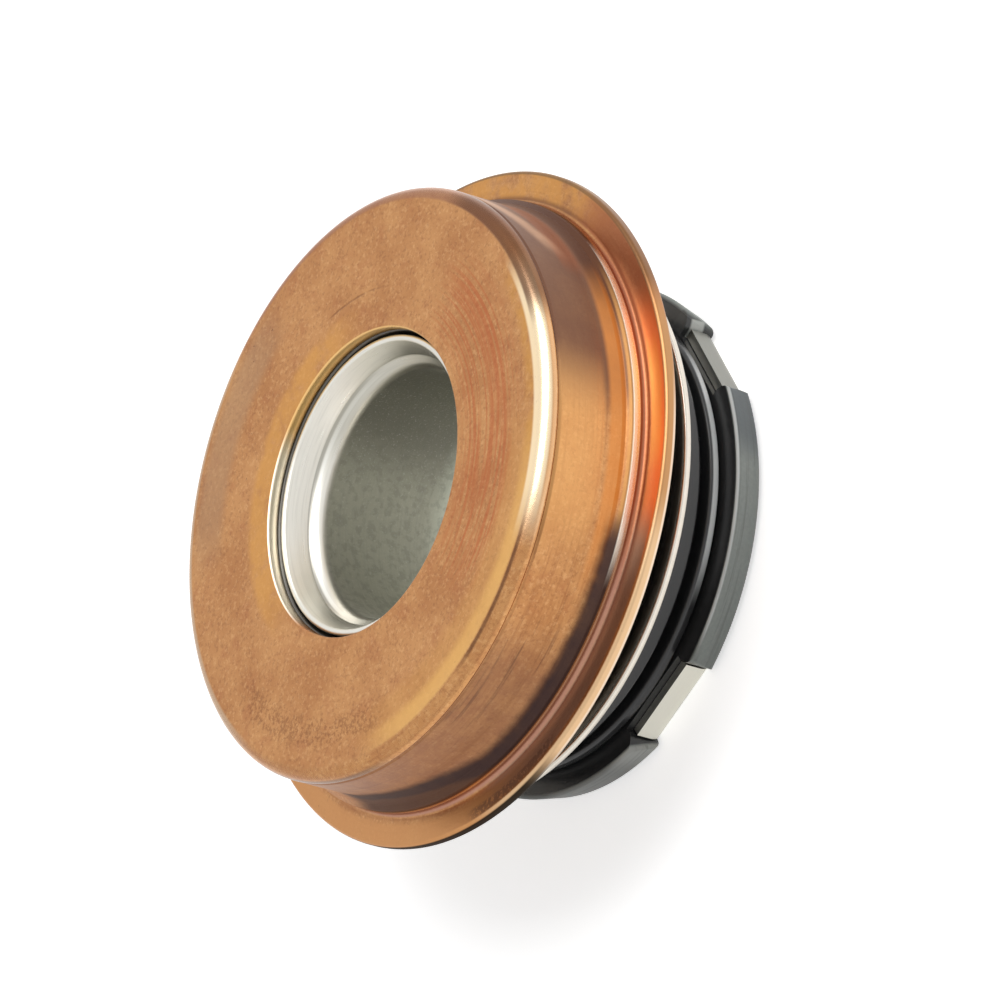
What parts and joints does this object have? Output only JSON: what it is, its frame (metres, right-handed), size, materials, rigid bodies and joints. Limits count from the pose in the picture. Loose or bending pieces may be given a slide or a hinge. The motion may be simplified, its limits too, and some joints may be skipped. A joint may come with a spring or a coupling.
{
  "type": "mechanical shaft seal",
  "caption": "Unitised mechanical seal for a pump shaft: flanged brass-coloured case, steel shaft sleeve with claws, and a spring-loaded face seal inside.",
  "frame": {"origin": "on the shaft axis, in the plane of the sleeve's rear face that the seal stands on", "axes": "+Z along the shaft towards the closed front of the case, claws of the sleeve on X and Y"},
  "size_m": [0.0434, 0.0434, 0.0192],
  "materials": {
    "case_copper": "satin",
    "stainless": "satin",
    "black_rubber": "satin",
    "hard_ring": "polished",
    "carbon": "matte",
    "bright_steel": "polished",
    "spring_wire": "satin"
  },
  "bodies": {
    "housing": {"case": "case_copper", "retaining_ring": "bright_steel", "clamp_ring": "bright_steel", "coil_spring": "spring_wire"},
    "seal_head": {"bellows": "black_rubber", "seal_ring": "carbon", "spring_plate": "bright_steel"},
    "rotor": {"sleeve": "stainless", "cup_gasket": "black_rubber", "mating_ring": "hard_ring"}
  },
  "joints": [
    {"name": "head_slide", "type": "slide", "parent": "housing", "child": "seal_head", "axis": [0, 0, 1], "range_m": [0, 0.002], "stiffness_N_per_m": 400, "springref_m": -0.004, "deforming": ["coil_spring", "bellows"]},
    {"name": "shaft_spin", "type": "hinge", "parent": "seal_head", "child": "rotor", "pos_m": [0, 0, 0], "axis": [0, 0, 1], "continuous": true}
  ]
}
